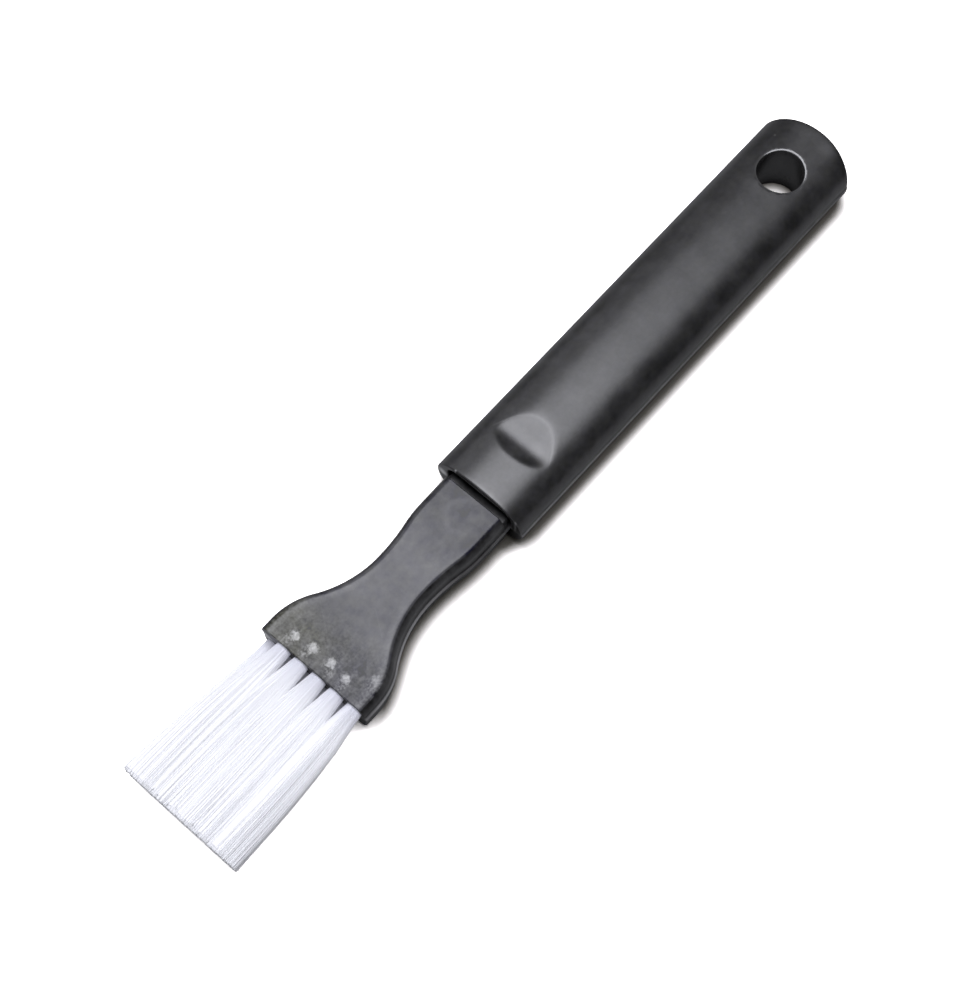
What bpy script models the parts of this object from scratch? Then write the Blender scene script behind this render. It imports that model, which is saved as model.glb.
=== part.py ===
"""A grill brush: a hollow oval handle, a flat brush head whose tang sits in the handle, and two rows
of bristle tufts, each folded over a metal anchor in its own hole.

Metres, +Z up. +X runs from the handle's end to the bristle tips. The origin lies under the middle
of the brush, on the surface that the handle's belly rests on.
"""

import math

import bmesh
import bpy
from mathutils import Matrix, Vector
from mathutils.geometry import delaunay_2d_cdt

# Handle: an oval tube, closed by an upright wall that bows out at the end with the hanging hole
HANDLE_LENGTH = 0.1117
HANDLE_WIDTH = 0.0230
HANDLE_THICKNESS = 0.0142
HANDLE_OVAL_POWER = 2.25
END_BOW_DEPTH = 0.0033
END_FILLET = 0.0005
BELLY_FLAT_WIDTH = 0.0060

# Hanging hole, through the solid end of the handle
HOLE_DIAMETER = 0.0104
HOLE_FROM_END = 0.0136
HOLE_SOLID_WALL = 0.0090

# Thumb notch across the top of the handle, a shallow V with its steep side toward the mouth
NOTCH_FROM_MOUTH = 0.0132
NOTCH_DEPTH = 0.00126
NOTCH_GENTLE_RUN = 0.0066
NOTCH_STEEP_RUN = 0.0032
NOTCH_VALLEY_RADIUS = 0.0012

# Socket in the handle, and how freely the neck of the head sits in it
SOCKET_SIDE_WALL = 0.0023
SOCKET_TOP_WALL = 0.00215
SOCKET_CORNER_RADIUS = 0.0028
NECK_SIDE_CLEARANCE = 0.0011
NECK_TOP_CLEARANCE = 0.00045
CLEARANCE = 0.0003

# Brush head: one flat moulding, seen from above a neck, a waist and a flared front
HEAD_REACH = 0.0497
HEAD_EDGE_RADIUS = 0.0010
HEAD_DRAFT = 0.0002
FRONT_LAND = 0.0024
WAIST_FROM_FRONT = 0.0266
WAIST_INSET = 0.0014
NECK_BLEND_RUN = 0.0146
WAIST_ARC_SHARE = 0.61
EJECTOR_DIAMETER = 0.0058
EJECTOR_DEPTH = 0.00015
EJECTOR_FROM_MOUTH = 0.0062

# Relief: a groove round the neck, which leaves a dark gap between the head's shoulder and the mouth
SHOULDER_FROM_MOUTH = 0.0014
RELIEF_IN_SOCKET = 0.0010
RELIEF_DEPTH = 0.0010

# Tang: the part of the head inside the handle, a stem between the neck and an end pad
NECK_IN_SOCKET = 0.0080
STEM_LENGTH = 0.0330
STEM_WIDTH_INSET = 0.0020
STEM_THICKNESS_INSET = 0.0019
PAD_LENGTH = 0.0050

# Tuft holes in the head's front face: two rows, set off to opposite sides
TUFTS_PER_ROW = 5
HOLE_OUTER_WALL = 0.0005
HOLE_ROW_WALL = 0.0012
HOLE_PITCH_WALL = 0.0013
HOLE_SIDE_WALL = 0.0010
ROW_SHIFT = 0.0018
TUFT_HOLE_DEPTH = 0.0070

# Bristles: strands that stand for a few filaments each, and spread from their hole to a flat-cut tip
BRISTLE_LENGTH = 0.0384
STRANDS_PER_TUFT = 42
STRAND_ROOT_SHARE = 0.66
STRAND_TIP_SHARE = 0.40
TIP_WIDTH = 0.0304
TIP_THICKNESS = 0.0060
TIP_ROW_SHIFT = 0.0012
TIP_FILL_SHARE = 0.94
FAN_BEND_SHARE = 0.55
STRAND_STEPS = 2

# Anchors: flat strips of metal that pin each folded tuft in its hole
ANCHOR_THICKNESS = 0.00035
ANCHOR_DEPTH = 0.0018
ANCHOR_BITE = 0.00015
FOLD_THICKNESS = 0.0010
ANCHOR_TURN = math.radians(45)

# How finely round shapes are divided, and how far a cutter runs past what it cuts
OVAL_POINTS = 56
CORNER_STEPS = 4
ARC_STEPS = 8
HOLE_STEPS = 40
TUFT_HOLE_STEPS = 20
OVERRUN = 0.0020
GOLDEN_ANGLE = math.pi * (3 - math.sqrt(5))
SMOOTH_ANGLE = math.radians(35)

# Places along the brush, and the height of its axis over the surface it rests on
OVERALL_LENGTH = HANDLE_LENGTH + HEAD_REACH + BRISTLE_LENGTH
X_END = -OVERALL_LENGTH / 2
X_MOUTH = X_END + HANDLE_LENGTH
X_FRONT = X_MOUTH + HEAD_REACH

# Sizes that follow from the handle: its socket, then the neck and the head's thickness
SOCKET_HALF_WIDTH = HANDLE_WIDTH / 2 - SOCKET_SIDE_WALL
SOCKET_HALF_HEIGHT = HANDLE_THICKNESS / 2 - SOCKET_TOP_WALL
SOCKET_FROM_END = HOLE_FROM_END + HOLE_DIAMETER / 2 + HOLE_SOLID_WALL
NECK_HALF_WIDTH = SOCKET_HALF_WIDTH - NECK_SIDE_CLEARANCE
HEAD_HALF_THICKNESS = SOCKET_HALF_HEIGHT - NECK_TOP_CLEARANCE
END_BOW_RADIUS = (HANDLE_WIDTH**2 / 4 + END_BOW_DEPTH**2) / (2 * END_BOW_DEPTH)

# Sizes that follow from the head's thickness: two rows of holes fill it, and their pitch its width
TUFT_HOLE_RADIUS = (2 * HEAD_HALF_THICKNESS - 2 * HOLE_OUTER_WALL - HOLE_ROW_WALL) / 4
ROW_HEIGHT = TUFT_HOLE_RADIUS + HOLE_ROW_WALL / 2
TUFT_PITCH = 2 * TUFT_HOLE_RADIUS + HOLE_PITCH_WALL
ROW_HALF_WIDTH = (TUFTS_PER_ROW - 1) / 2 * TUFT_PITCH + TUFT_HOLE_RADIUS
HEAD_HALF_WIDTH = ROW_HALF_WIDTH + ROW_SHIFT + HOLE_SIDE_WALL
WAIST_HALF_WIDTH = NECK_HALF_WIDTH - WAIST_INSET
PLUG_RADIUS = TUFT_HOLE_RADIUS - CLEARANCE
TIP_PITCH = (TIP_WIDTH - 2 * TIP_ROW_SHIFT) / TUFTS_PER_ROW
STRAND_ROOT_RADIUS = STRAND_ROOT_SHARE * PLUG_RADIUS / math.sqrt(STRANDS_PER_TUFT)
STRAND_TIP_SPACING = math.sqrt(TIP_PITCH * TIP_THICKNESS / 2 / STRANDS_PER_TUFT)
STRAND_TIP_RADIUS = STRAND_TIP_SHARE * STRAND_TIP_SPACING
STRAND_REACH = PLUG_RADIUS - STRAND_ROOT_RADIUS * (1 + STRAND_ROOT_SHARE / STRANDS_PER_TUFT)
ANCHOR_LENGTH = 2 * (TUFT_HOLE_RADIUS + ANCHOR_BITE)
ANCHOR_FROM_BOTTOM = CLEARANCE + FOLD_THICKNESS + CLEARANCE + ANCHOR_DEPTH / 2


def oval_height(y, half_width, half_height, power):
    """Half the thickness of the oval section at this distance from its middle."""
    return half_height * (1 - (abs(y) / half_width) ** power) ** (1 / power)


BELLY_DROP = oval_height(
    BELLY_FLAT_WIDTH / 2, HANDLE_WIDTH / 2, HANDLE_THICKNESS / 2, HANDLE_OVAL_POWER
)
AXIS_LOCATION = Vector((0, 0, BELLY_DROP))


def material(name, colour, roughness, metallic=0.0):
    made = bpy.data.materials.new(name)
    made.use_nodes = True
    shader = made.node_tree.nodes["Principled BSDF"]
    shader.inputs["Base Color"].default_value = (*colour, 1.0)
    shader.inputs["Roughness"].default_value = roughness
    shader.inputs["Metallic"].default_value = metallic
    made.diffuse_color = (*colour, 1.0)
    return made


def add_object(name, mesh_data, finish, parent, location):
    made = bpy.data.objects.new(name, mesh_data)
    bpy.context.scene.collection.objects.link(made)
    made.parent = parent
    made.location = location
    if finish:
        mesh_data.materials.append(finish)
    return made


def finished_mesh(bm, name):
    """The bmesh as mesh data, facing out, and smooth but for its real edges."""
    bmesh.ops.recalc_face_normals(bm, faces=bm.faces)
    mesh_data = bpy.data.meshes.new(name)
    bm.to_mesh(mesh_data)
    bm.free()
    mesh_data.shade_smooth()
    mesh_data.set_sharp_from_angle(angle=SMOOTH_ANGLE)
    return mesh_data


def cut(target, cutter_bm, name):
    """Cuts the shape out of the target, which keeps the cutter as a hidden wire object."""
    cutter = add_object(name, finished_mesh(cutter_bm, name), None, target.parent, target.location)
    cutter.hide_render = True
    cutter.display_type = "WIRE"
    boolean = target.modifiers.new(name, "BOOLEAN")
    boolean.operation = "DIFFERENCE"
    boolean.solver = "EXACT"
    boolean.object = cutter


def skin(bm, rings):
    """The sides of a body through rings of equally many points. Its ends are left open."""
    rows = [[bm.verts.new(point) for point in ring] for ring in rings]
    for first, second in zip(rows, rows[1:]):
        for i in range(len(first)):
            j = (i + 1) % len(first)
            bm.faces.new((first[i], first[j], second[j], second[i]))
    return rows


def loft(bm, rings):
    """A closed body through the rings, with flat ends."""
    rows = skin(bm, rings)
    bm.faces.new(rows[0])
    bm.faces.new(rows[-1])


def oval_points(inset=0):
    """The handle's oval section, cut flat at the belly, or a line this far inside it."""
    for i in range(OVAL_POINTS):
        angle = 2 * math.pi * i / OVAL_POINTS
        across = abs(math.cos(angle)) ** (2 / HANDLE_OVAL_POWER) * (HANDLE_WIDTH / 2 - inset)
        up = abs(math.sin(angle)) ** (2 / HANDLE_OVAL_POWER) * (HANDLE_THICKNESS / 2 - inset)
        up = math.copysign(up, math.sin(angle))
        yield math.copysign(across, math.cos(angle)), max(up, inset - BELLY_DROP)


def rounded_ring(x, half_width, half_height, radius, draft=0):
    """An upright rectangle with round corners at x. With a draft, it is widest at mid height."""
    radius = min(radius, half_width - draft, half_height)
    ring = []
    for quarter, (side, level) in enumerate(((1, 1), (-1, 1), (-1, -1), (1, -1))):
        if side == level:
            ring.append((x, side * half_width, 0))
        centre_y = side * (half_width - draft - radius)
        centre_z = level * (half_height - radius)
        for step in range(CORNER_STEPS + 1):
            angle = math.pi / 2 * (quarter + step / CORNER_STEPS)
            ring.append(
                (x, centre_y + radius * math.cos(angle), centre_z + radius * math.sin(angle))
            )
    return ring


def cylinder(bm, start, end, radius, steps):
    """A round bar from start to end."""
    axis = end - start
    turn = axis.to_track_quat("Z", "Y").to_matrix().to_4x4()
    bmesh.ops.create_cone(
        bm,
        cap_ends=True,
        segments=steps,
        radius1=radius,
        radius2=radius,
        depth=axis.length,
        matrix=Matrix.Translation((start + end) / 2) @ turn,
    )


def handle_end_ring(share):
    """A line round the edge of the end wall, at this share of the way over its rounded edge."""
    angle = math.pi / 2 * share
    back = END_FILLET * (1 - math.cos(angle))
    ring = []
    for y, z in oval_points(END_FILLET * (1 - math.sin(angle))):
        bow = END_BOW_RADIUS - math.sqrt(END_BOW_RADIUS**2 - y**2)
        ring.append((bow + back, y, z))
    return ring


def make_handle(parent, finish):
    """The oval tube, with its socket, its hanging hole and its thumb notch cut out."""
    bm = bmesh.new()
    rings = [handle_end_ring(step / CORNER_STEPS) for step in range(CORNER_STEPS + 1)]
    rings.append([(HANDLE_LENGTH, y, z) for y, z in oval_points()])
    rows = skin(bm, rings)
    wall = rows[0]
    bm.faces.new((wall[0], wall[1], wall[-1]))
    for i in range(1, OVAL_POINTS // 2 - 1):
        bm.faces.new((wall[i], wall[i + 1], wall[-i - 1], wall[-i]))
    i = OVAL_POINTS // 2
    bm.faces.new((wall[i - 1], wall[i], wall[i + 1]))
    bm.faces.new(rows[-1])
    location = AXIS_LOCATION + Vector((X_END, 0, 0))
    handle = add_object("handle", finished_mesh(bm, "handle"), finish, parent, location)
    cut(handle, socket_cutter(), "socket_cutter")
    cut(handle, hanging_hole_cutter(), "hanging_hole_cutter")
    cut(handle, notch_cutter(), "notch_cutter")
    return handle


def socket_cutter():
    bm = bmesh.new()
    ends = (SOCKET_FROM_END, HANDLE_LENGTH + OVERRUN)
    loft(
        bm,
        [
            rounded_ring(x, SOCKET_HALF_WIDTH, SOCKET_HALF_HEIGHT, SOCKET_CORNER_RADIUS)
            for x in ends
        ],
    )
    return bm


def hanging_hole_cutter():
    bm = bmesh.new()
    reach = Vector((0, 0, HANDLE_THICKNESS / 2 + OVERRUN))
    centre = Vector((HOLE_FROM_END, 0, 0))
    cylinder(bm, centre - reach, centre + reach, HOLE_DIAMETER / 2, HOLE_STEPS)
    return bm


def notch_cutter():
    """A bar across the handle whose lower side is the notch's V, with a rounded valley."""
    valley_x = HANDLE_LENGTH - NOTCH_FROM_MOUTH
    top = HANDLE_THICKNESS / 2
    bottom = top - NOTCH_DEPTH
    gentle = NOTCH_DEPTH / NOTCH_GENTLE_RUN
    steep = NOTCH_DEPTH / NOTCH_STEEP_RUN
    lift = OVERRUN * gentle
    steep_lift = OVERRUN * steep
    half = NOTCH_VALLEY_RADIUS * (math.atan(gentle) + math.atan(steep)) / 2
    valley = []
    for step in range(ARC_STEPS + 1):
        share = step / ARC_STEPS
        start = Vector((valley_x - half, bottom + half * gentle))
        end = Vector((valley_x + half, bottom + half * steep))
        middle = Vector((valley_x, bottom))
        first = start.lerp(middle, share)
        valley.append(first.lerp(middle.lerp(end, share), share))
    profile = [Vector((valley_x - NOTCH_GENTLE_RUN - OVERRUN, top + lift))]
    profile += valley
    profile.append(Vector((valley_x + NOTCH_STEEP_RUN + OVERRUN, top + steep_lift)))
    profile.append(Vector((valley_x + NOTCH_STEEP_RUN + OVERRUN, top + 2 * OVERRUN)))
    profile.append(Vector((valley_x - NOTCH_GENTLE_RUN - OVERRUN, top + 2 * OVERRUN)))
    reach = HANDLE_WIDTH / 2 + OVERRUN
    bm = bmesh.new()
    loft(bm, [[(x, y, z) for x, z in profile] for y in (-reach, reach)])
    return bm


def s_curve(x, start_x, run, start_y, rise, share):
    """Height of two tangent arcs that climb the rise over the run, the first one hollow."""
    radii = (run**2 + rise**2) / (2 * rise)
    along = x - start_x
    if along < run * share:
        radius = radii * share
        return start_y + radius - math.sqrt(radius**2 - along**2)
    radius = radii * (1 - share)
    return start_y + rise - radius + math.sqrt(radius**2 - (run - along) ** 2)


def head_half_width(x):
    """Half the width of the head at x from its front face, which is where x is 0."""
    waist = -WAIST_FROM_FRONT
    if x > waist:
        run = WAIST_FROM_FRONT - FRONT_LAND
        if x >= waist + run:
            return HEAD_HALF_WIDTH
        rise = HEAD_HALF_WIDTH - WAIST_HALF_WIDTH
        return s_curve(x, waist, run, WAIST_HALF_WIDTH, rise, WAIST_ARC_SHARE)
    if waist - x >= NECK_BLEND_RUN:
        return NECK_HALF_WIDTH
    return s_curve(2 * waist - x, waist, NECK_BLEND_RUN, WAIST_HALF_WIDTH, WAIST_INSET, WAIST_ARC_SHARE)


def make_head(parent, finish):
    """Neck, waist and flared front as one loft, with the tang behind it and the tuft holes cut."""
    neck_shoulder = SHOULDER_FROM_MOUTH - HEAD_REACH
    relief_end = -HEAD_REACH - RELIEF_IN_SOCKET
    neck_end = -HEAD_REACH - NECK_IN_SOCKET
    stem_end = neck_end - STEM_LENGTH
    pad_end = stem_end - PAD_LENGTH
    stem = (
        NECK_HALF_WIDTH - STEM_WIDTH_INSET,
        HEAD_HALF_THICKNESS - STEM_THICKNESS_INSET,
        HEAD_EDGE_RADIUS,
    )
    pad = (SOCKET_HALF_WIDTH - CLEARANCE, SOCKET_HALF_HEIGHT - CLEARANCE, SOCKET_CORNER_RADIUS)
    rings = [rounded_ring(x, *pad) for x in (pad_end, stem_end)]
    rings += [rounded_ring(x, *stem) for x in (stem_end, neck_end)]
    neck = (NECK_HALF_WIDTH, HEAD_HALF_THICKNESS, HEAD_EDGE_RADIUS, HEAD_DRAFT)
    rings += [rounded_ring(x, *neck) for x in (neck_end, relief_end)]
    relief = (
        NECK_HALF_WIDTH - RELIEF_DEPTH,
        HEAD_HALF_THICKNESS - RELIEF_DEPTH,
        HEAD_EDGE_RADIUS,
    )
    rings += [rounded_ring(x, *relief) for x in (relief_end, neck_shoulder)]
    waist = -WAIST_FROM_FRONT
    shoulder = WAIST_FROM_FRONT - FRONT_LAND
    stations = [neck_shoulder, waist - NECK_BLEND_RUN]
    stations += [waist - NECK_BLEND_RUN * (1 - i / ARC_STEPS) for i in range(1, ARC_STEPS)]
    stations += [waist + shoulder * i / (2 * ARC_STEPS) for i in range(2 * ARC_STEPS + 1)]
    stations.append(0)
    for x in stations:
        half_width = head_half_width(x)
        rings.append(
            rounded_ring(x, half_width, HEAD_HALF_THICKNESS, HEAD_EDGE_RADIUS, HEAD_DRAFT)
        )
    bm = bmesh.new()
    loft(bm, rings)
    location = AXIS_LOCATION + Vector((X_FRONT, 0, 0))
    head = add_object("brush_head", finished_mesh(bm, "brush_head"), finish, parent, location)
    cut(head, tuft_hole_cutter(), "tuft_hole_cutter")
    cut(head, anchor_groove_cutter(), "anchor_groove_cutter")
    cut(head, ejector_cutter(), "ejector_cutter")
    return head


def tuft_places():
    """Each tuft's place in the rows, its level, and where its root and its tip are seen from the front."""
    for row, level in (("upper", 1), ("lower", -1)):
        for number in range(TUFTS_PER_ROW):
            column = number - (TUFTS_PER_ROW - 1) / 2
            root = Vector((column * TUFT_PITCH + level * ROW_SHIFT, level * ROW_HEIGHT))
            tip = Vector((column * TIP_PITCH + level * TIP_ROW_SHIFT, level * TIP_THICKNESS / 4))
            yield f"{row}_{number + 1}", level, root, tip


def tuft_hole_cutter():
    bm = bmesh.new()
    for _, _, root, _ in tuft_places():
        start = Vector((-TUFT_HOLE_DEPTH, *root))
        cylinder(bm, start, Vector((OVERRUN, *root)), TUFT_HOLE_RADIUS, TUFT_HOLE_STEPS)
    return bm


def anchor_box(bm, root, spare, spare_length):
    """A strip across a tuft hole, near its bottom, with this much to spare on every side."""
    size = (
        ANCHOR_DEPTH + 2 * spare,
        ANCHOR_LENGTH + 2 * spare_length,
        ANCHOR_THICKNESS + 2 * spare,
    )
    place = Vector((ANCHOR_FROM_BOTTOM - TUFT_HOLE_DEPTH, *root))
    turn = Matrix.Rotation(ANCHOR_TURN, 4, "X")
    bmesh.ops.create_cube(bm, size=1, matrix=Matrix.Translation(place) @ turn @ Matrix.Diagonal((*size, 1)))


def anchor_groove_cutter():
    bm = bmesh.new()
    for _, _, root, _ in tuft_places():
        anchor_box(bm, root, CLEARANCE, CLEARANCE)
    return bm


def ejector_cutter():
    """The shallow round mark that an ejector pin leaves on the neck."""
    bm = bmesh.new()
    place = Vector((EJECTOR_FROM_MOUTH - HEAD_REACH, 0, HEAD_HALF_THICKNESS))
    down = Vector((0, 0, EJECTOR_DEPTH))
    cylinder(bm, place - down, place + Vector((0, 0, OVERRUN)), EJECTOR_DIAMETER / 2, HOLE_STEPS)
    return bm


def strand_roots(level):
    """Points spread evenly over the end of a tuft, by the golden angle, half a turn on at level -1."""
    for i in range(STRANDS_PER_TUFT):
        radius = level * STRAND_REACH * math.sqrt((i + 0.5) / STRANDS_PER_TUFT)
        angle = i * GOLDEN_ANGLE
        yield Vector((radius * math.cos(angle), radius * math.sin(angle)))


def strand_tip(root):
    """Where a strand of the round root ends in the tuft's rectangular share of the tip."""
    square = root / max(abs(root.x), abs(root.y)) * root.length / PLUG_RADIUS
    return Vector((square.x * TIP_PITCH / 2, square.y * TIP_THICKNESS / 4)) * TIP_FILL_SHARE


def strand_corners(number, radius):
    """The three corners of a strand's section, each strand turned a little further."""
    for corner in range(3):
        angle = 2 * math.pi * corner / 3 + number * GOLDEN_ANGLE / 2
        yield Vector((math.cos(angle), math.sin(angle))) * radius


def add_strand(bm, row, start, number, travel, level):
    """Carries the strand's corners from the root out to the tip, spreading most near the root."""
    for step in range(1, STRAND_STEPS + 1):
        share = step / STRAND_STEPS
        fan = share * (1 + FAN_BEND_SHARE) - share**2 * FAN_BEND_SHARE
        radius = STRAND_ROOT_RADIUS + (STRAND_TIP_RADIUS - STRAND_ROOT_RADIUS) * share
        middle = start + travel * fan
        new_row = [
            bm.verts.new((BRISTLE_LENGTH * share, *(middle + corner)))
            for corner in strand_corners(number, level * radius)
        ]
        for i in range(3):
            j = (i + 1) % 3
            bm.faces.new((row[i], row[j], new_row[j], new_row[i]))
        row = new_row
    bm.faces.new(row)


def tuft_mesh(name, level, root, tip):
    """A round plug of folded bristles whose front face has its strands growing out of it."""
    angles = [2 * math.pi * i / TUFT_HOLE_STEPS for i in range(TUFT_HOLE_STEPS)]
    circle = [Vector((math.cos(a), math.sin(a))) * PLUG_RADIUS for a in angles]
    points = list(circle)
    loops = [list(range(TUFT_HOLE_STEPS))]
    starts = list(strand_roots(level))
    for number, start in enumerate(starts):
        loops.append([len(points) + i for i in range(3)])
        points += [start + corner for corner in strand_corners(number, level * STRAND_ROOT_RADIUS)]
    flat = delaunay_2d_cdt(points, [], loops, 0, STRAND_ROOT_RADIUS / len(points))
    bm = bmesh.new()
    verts = [bm.verts.new((0, *point)) for point in flat[0]]
    for corners, sources in zip(flat[2], flat[5]):
        if max(sources) == 0:
            bm.faces.new([verts[i] for i in corners])
    for number, start in enumerate(starts):
        row = [verts[i] for i in loops[number + 1]]
        travel = tip - root + strand_tip(start) - start
        add_strand(bm, row, start, number, travel, level)
    back = [bm.verts.new((CLEARANCE - TUFT_HOLE_DEPTH, *point)) for point in circle]
    for i in range(TUFT_HOLE_STEPS):
        j = (i + 1) % TUFT_HOLE_STEPS
        bm.faces.new((verts[i], verts[j], back[j], back[i]))
    bm.faces.new(back)
    return finished_mesh(bm, name)


def make_tuft(name, level, root, tip, parent, finish):
    """One tuft, with a slot through its folded end for the anchor."""
    location = AXIS_LOCATION + Vector((X_FRONT, *root))
    tuft = add_object(name, tuft_mesh(name, level, root, tip), finish, parent, location)
    slot = bmesh.new()
    anchor_box(slot, Vector((0, 0)), CLEARANCE, CLEARANCE)
    cut(tuft, slot, name + "_slot_cutter")
    return tuft


def make_anchor(name, root, parent, finish):
    bm = bmesh.new()
    anchor_box(bm, Vector((0, 0)), 0, 0)
    location = AXIS_LOCATION + Vector((X_FRONT, *root))
    return add_object(name, finished_mesh(bm, name), finish, parent, location)


def clear_scene():
    for item in list(bpy.data.objects):
        bpy.data.objects.remove(item, do_unlink=True)


def main():
    clear_scene()
    brush = bpy.data.objects.new("grill_brush", None)
    bpy.context.scene.collection.objects.link(brush)
    satin_black = material("satin_black_plastic", (0.018, 0.018, 0.019), 0.42)
    gloss_black = material("gloss_black_plastic", (0.022, 0.022, 0.024), 0.30)
    white_nylon = material("white_nylon", (0.86, 0.87, 0.90), 0.45)
    bright_steel = material("bright_steel", (0.62, 0.61, 0.58), 0.30, 1.0)
    make_handle(brush, satin_black)
    make_head(brush, gloss_black)
    for place, level, root, tip in tuft_places():
        make_tuft(f"tuft_{place}", level, root, tip, brush, white_nylon)
        make_anchor(f"anchor_{place}", root, brush, bright_steel)


main()
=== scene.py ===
"""The looks of the grill brush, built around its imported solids: handle, brush head, anchors, bristles.

Metres, in the solids' own frame: +X from the hanging hole to the bristle tips, +Z up, floor at 0.
"""

import math

import bmesh
import bpy
from mathutils import Matrix, Vector


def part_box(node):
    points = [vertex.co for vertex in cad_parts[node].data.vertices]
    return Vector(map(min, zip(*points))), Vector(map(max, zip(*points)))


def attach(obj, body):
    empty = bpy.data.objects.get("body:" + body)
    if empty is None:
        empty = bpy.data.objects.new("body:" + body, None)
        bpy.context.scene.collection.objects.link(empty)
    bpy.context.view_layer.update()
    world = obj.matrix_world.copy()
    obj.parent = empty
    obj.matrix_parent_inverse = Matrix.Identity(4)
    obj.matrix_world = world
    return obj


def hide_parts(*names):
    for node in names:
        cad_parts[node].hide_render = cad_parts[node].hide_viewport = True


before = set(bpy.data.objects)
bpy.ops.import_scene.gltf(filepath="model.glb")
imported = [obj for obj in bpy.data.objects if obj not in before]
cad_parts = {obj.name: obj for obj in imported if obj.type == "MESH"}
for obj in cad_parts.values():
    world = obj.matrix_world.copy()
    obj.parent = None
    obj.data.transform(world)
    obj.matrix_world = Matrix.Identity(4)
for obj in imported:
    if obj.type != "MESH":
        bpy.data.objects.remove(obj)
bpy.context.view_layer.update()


# Handle: one injection moulding in black polypropylene, an oval tube that is open toward the head
# and solid round the hanging hole. One mould half was a little wider, which left a fine step along
# one side. The thumb notch is moulded into its top, and the head's tang is pushed into its mouth.
# Its colour carries painted highlights along the mould step, round the hanging hole and the notch,
# at the end's edge, at the mouth's far corner and in soft spots near both ends.

handle_low, handle_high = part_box("handle")
handle_sizes = {
    "end": handle_low.x,
    "length": handle_high.x - handle_low.x,
    "width": handle_high.y - handle_low.y,
    "thickness": 0.0142,
    "axis height": handle_high.z - 0.0071,
    "oval power": 2.25,
    "end bow": 0.0033,
    "end fillet": 0.0006,
    "hole radius": 0.0052,
    "hole from end": 0.0136,
    "hole edge": 0.00022,
    "hole bevel": 0.00008,
    "notch from mouth": 0.0125,
    "notch depth": 0.00136,
    "notch gentle slope": 0.181,
    "notch steep slope": 0.517,
    "notch valley": 0.0028,
    "notch edge": 0.00045,
    "socket half width": 0.0085,
    "socket half height": 0.00495,
    "socket corner": 0.0028,
    "socket depth": 0.0839,
    "mouth edge": 0.0003,
    "mould step": 0.0003,
    "mould step drop": 0.00012,
}
HANDLE_ROUND = 240
HANDLE_SIDE_CROWDING = 0.8
MOULDING_SMOOTH = math.radians(35)
WELD_REACH = 2e-6


def plug(tree, socket, value):
    """Gives a node's socket a value, or links to it what another node makes."""
    if isinstance(value, Field):
        value = value.socket
    if isinstance(value, bpy.types.NodeSocket):
        tree.links.new(value, socket)
    else:
        socket.default_value = value


def add_node(tree, kind, inputs=None, **settings):
    """A new node with these settings, its inputs given by name or number."""
    made = tree.nodes.new(kind)
    for name, value in settings.items():
        setattr(made, name, value)
    for key, value in (inputs or {}).items():
        plug(tree, made.inputs[key], value)
    return made


class Field:
    """A value in a node tree. Sums of fields are written as plain sums, and become Math nodes."""

    def __init__(self, tree, socket):
        self.tree = tree
        self.socket = socket

    def math(self, operation, *others):
        values = dict(enumerate((self, *others)))
        made = add_node(self.tree, "ShaderNodeMath", values, operation=operation)
        return Field(self.tree, made.outputs[0])

    def rmath(self, operation, other):
        made = add_node(self.tree, "ShaderNodeMath", {0: other, 1: self}, operation=operation)
        return Field(self.tree, made.outputs[0])

    def __add__(self, other):
        return self.math("ADD", other)

    def __radd__(self, other):
        return self.math("ADD", other)

    def __sub__(self, other):
        return self.math("SUBTRACT", other)

    def __rsub__(self, other):
        return self.rmath("SUBTRACT", other)

    def __mul__(self, other):
        return self.math("MULTIPLY", other)

    def __rmul__(self, other):
        return self.math("MULTIPLY", other)

    def __truediv__(self, other):
        return self.math("DIVIDE", other)

    def __rtruediv__(self, other):
        return self.rmath("DIVIDE", other)

    def __pow__(self, other):
        return self.math("POWER", other)

    def __neg__(self):
        return self.math("MULTIPLY", -1.0)

    def __abs__(self):
        return self.math("ABSOLUTE")

    def sin(self):
        return self.math("SINE")

    def cos(self):
        return self.math("COSINE")

    def sqrt(self):
        return self.math("SQRT")

    def sign(self):
        return self.math("SIGN")

    def least(self, other):
        return self.math("MINIMUM", other)

    def most(self, other):
        return self.math("MAXIMUM", other)

    def above(self, limit):
        return self.math("GREATER_THAN", limit)


def geometry_tree(name, sizes):
    """An empty tree with a named input for each size, and those inputs as fields."""
    tree = bpy.data.node_groups.new(name, "GeometryNodeTree")
    tree.interface.new_socket("Geometry", in_out="OUTPUT", socket_type="NodeSocketGeometry")
    for key, value in sizes.items():
        kind = "NodeSocketInt" if isinstance(value, int) else "NodeSocketFloat"
        tree.interface.new_socket(key, in_out="INPUT", socket_type=kind)
    made = tree.nodes.new("NodeGroupInput")
    return tree, {key: Field(tree, made.outputs[key]) for key in sizes}


def close_tree(tree, mesh, finish):
    """Ends a tree: its instances made real, and its material set."""
    real = add_node(tree, "GeometryNodeRealizeInstances", {0: mesh}).outputs[0]
    finished = add_node(tree, "GeometryNodeSetMaterial", {"Geometry": real, "Material": finish})
    plug(tree, tree.nodes.new("NodeGroupOutput").inputs[0], finished.outputs[0])


def placed(name, data):
    """A new object with this data, in the scene."""
    made = bpy.data.objects.new(name, data)
    bpy.context.scene.collection.objects.link(made)
    return made


def grown_piece(name, tree, sizes):
    """The mesh that a tree makes with these sizes, as a plain object at the origin."""
    carrier = placed(name + "_tree", bpy.data.meshes.new(name + "_tree"))
    modifier = carrier.modifiers.new(name, "NODES")
    modifier.node_group = tree
    for item in tree.interface.items_tree:
        if item.in_out == "INPUT":
            modifier[item.identifier] = sizes[item.name]
    graph = bpy.context.evaluated_depsgraph_get()
    mesh = bpy.data.meshes.new_from_object(carrier.evaluated_get(graph), depsgraph=graph)
    bpy.data.objects.remove(carrier, do_unlink=True)
    mesh.name = name
    return placed(name, mesh)


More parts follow.
